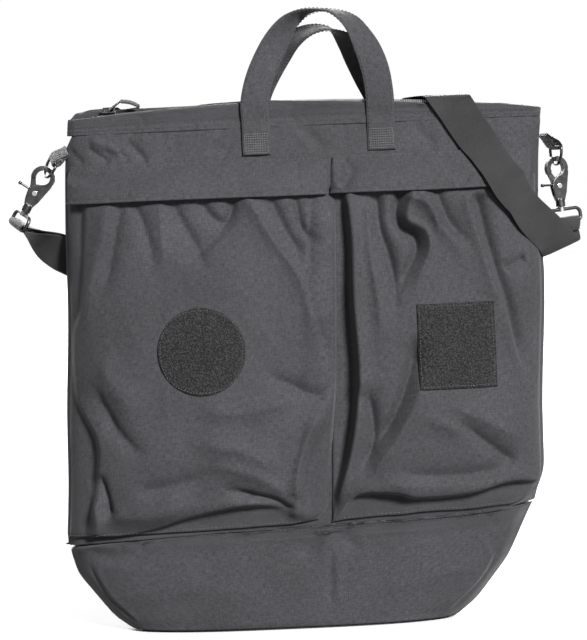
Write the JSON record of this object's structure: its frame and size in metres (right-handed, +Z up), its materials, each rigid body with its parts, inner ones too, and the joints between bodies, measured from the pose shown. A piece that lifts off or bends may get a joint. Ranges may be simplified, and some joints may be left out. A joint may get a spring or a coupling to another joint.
{
  "type": "flight bag",
  "caption": "Soft helmet and flight bag with a zipped mouth, flapped bellows pockets, carry handles and a clip-on shoulder strap.",
  "frame": {"origin": "on the resting face of the flat base, midway front to back and near its middle from side to side", "axes": "+Z up from the base to the handles, +X to the right as seen from the pockets' side, the pockets face -Y"},
  "size_m": [0.5823, 0.1234, 0.6205],
  "materials": {
    "shell_nylon": "dark grey plain-weave nylon, matt",
    "lining_nylon": "thin lining cloth",
    "zip_tape": "woven tape",
    "zip_teeth": "moulded teeth",
    "loop_pile": "napped loop pile",
    "webbing": "ribbed webbing",
    "braided_cord": "braid",
    "gunmetal": "black nickel plated",
    "spring_steel": "bright",
    "adjuster_plastic": "moulded, satin"
  },
  "bodies": {
    "bag": {"base_floor": "shell_nylon", "base_wall": "shell_nylon", "front_panel": "shell_nylon", "back_panel": "shell_nylon", "lining_front": "lining_nylon", "lining_back": "lining_nylon", "rim_hem_front": "shell_nylon", "rim_hem_back": "shell_nylon", "zip_tape_front": "zip_tape", "zip_tape_back": "zip_tape", "zip_teeth_front": "zip_teeth", "zip_teeth_back": "zip_teeth", "zip_end_stops": "gunmetal", "pocket_left": "shell_nylon", "pocket_right": "shell_nylon", "pocket_loop_strip_left": "loop_pile", "pocket_loop_strip_right": "loop_pile", "flap_right_end": "shell_nylon", "patch_round": "loop_pile", "patch_square": "loop_pile", "handle_front_tabs": "shell_nylon", "handle_back_tabs": "shell_nylon", "ring_tab_left": "webbing", "ring_tab_right": "webbing", "shoulder_strap": "webbing", "strap_adjuster": "adjuster_plastic"},
    "left_flap": {"flap_left": "shell_nylon", "flap_hook_strip_left": "loop_pile"},
    "right_flap": {"flap_right": "shell_nylon", "flap_hook_strip_right": "loop_pile"},
    "front_handle": {"handle_front": "shell_nylon"},
    "back_handle": {"handle_back": "shell_nylon"},
    "slider": {"zip_slider": "gunmetal"},
    "pull": {"zip_pull_wire": "gunmetal", "zip_pull_cord": "braided_cord"},
    "left_ring": {"ring_left": "gunmetal"},
    "right_ring": {"ring_right": "gunmetal"},
    "left_loop": {"strap_loop_left": "gunmetal"},
    "right_loop": {"strap_loop_right": "gunmetal"},
    "left_hook": {"hook_frame_left": "gunmetal", "hook_rivet_left": "spring_steel", "gate_spring_left": "spring_steel"},
    "right_hook": {"hook_frame_right": "gunmetal", "hook_rivet_right": "spring_steel", "gate_spring_right": "spring_steel"},
    "left_gate": {"hook_gate_left": "gunmetal"},
    "right_gate": {"hook_gate_right": "gunmetal"}
  },
  "joints": [
    {"name": "left_flap_hinge", "type": "hinge", "parent": "bag", "child": "left_flap", "pos_m": [-0.098, -0.0255, 0.472], "axis": [-1, 0, 0], "range_deg": [0, 85]},
    {"name": "right_flap_hinge", "type": "hinge", "parent": "bag", "child": "right_flap", "pos_m": [0.09, -0.0255, 0.472], "axis": [-1, 0, 0], "range_deg": [0, 85]},
    {"name": "front_handle_hinge", "type": "hinge", "parent": "bag", "child": "front_handle", "pos_m": [0.028, -0.0205, 0.51], "axis": [1, 0, 0], "range_deg": [0, 105]},
    {"name": "back_handle_hinge", "type": "hinge", "parent": "bag", "child": "back_handle", "pos_m": [0.028, 0.0205, 0.51], "axis": [-1, 0, 0], "range_deg": [0, 100]},
    {"name": "zip_slide", "type": "slide", "parent": "bag", "child": "slider", "axis": [1, 0, 0], "range_m": [0, 0.25]},
    {"name": "zip_pull_hinge", "type": "hinge", "parent": "slider", "child": "pull", "pos_m": [-0.181, 0, 0.52711], "axis": [0, 1, 0], "range_deg": [-120, 15]},
    {"name": "left_ring_swing", "type": "hinge", "parent": "bag", "child": "left_ring", "pos_m": [-0.239, 0, 0.479], "axis": [0.2001, -0.8803, -0.4302], "range_deg": [-1.5, 3]},
    {"name": "left_loop_tilt", "type": "hinge", "parent": "bag", "child": "left_loop", "pos_m": [-0.27873, 0.0052, 0.41614], "axis": [0.387, -0.8923, -0.2326], "range_deg": [-0.5, 1.5]},
    {"name": "left_hook_swivel", "type": "hinge", "parent": "left_loop", "child": "left_hook", "pos_m": [-0.271, 0.0052, 0.429], "axis": [0.5151, 0, 0.8571], "range_deg": [-4, 6]},
    {"name": "left_gate_hinge", "type": "hinge", "parent": "left_hook", "child": "left_gate", "pos_m": [-0.26018, 0.0052, 0.447], "axis": [0, -1, 0], "range_deg": [0, 25], "stiffness_Nm_per_rad": 0.02, "springref_deg": -20.05},
    {"name": "right_ring_swing", "type": "hinge", "parent": "bag", "child": "right_ring", "pos_m": [0.2668, 0, 0.4715], "axis": [0.3, -0.9539, 0], "range_deg": [-5, 5]},
    {"name": "right_loop_tilt", "type": "hinge", "parent": "bag", "child": "right_loop", "pos_m": [0.2711, 0, 0.39586], "axis": [0.9037, 0.4208, 0.0791], "range_deg": [-1, 2]},
    {"name": "right_hook_swivel", "type": "hinge", "parent": "right_loop", "child": "right_hook", "pos_m": [0.2698, 0, 0.4108], "axis": [-0.087, 0, 0.9962], "range_deg": [-5, 10]},
    {"name": "right_gate_hinge", "type": "hinge", "parent": "right_hook", "child": "right_gate", "pos_m": [0.26797, 0, 0.43172], "axis": [0.4192, -0.9072, 0.0366], "range_deg": [0, 18], "stiffness_Nm_per_rad": 0.02, "springref_deg": -20.05}
  ]
}
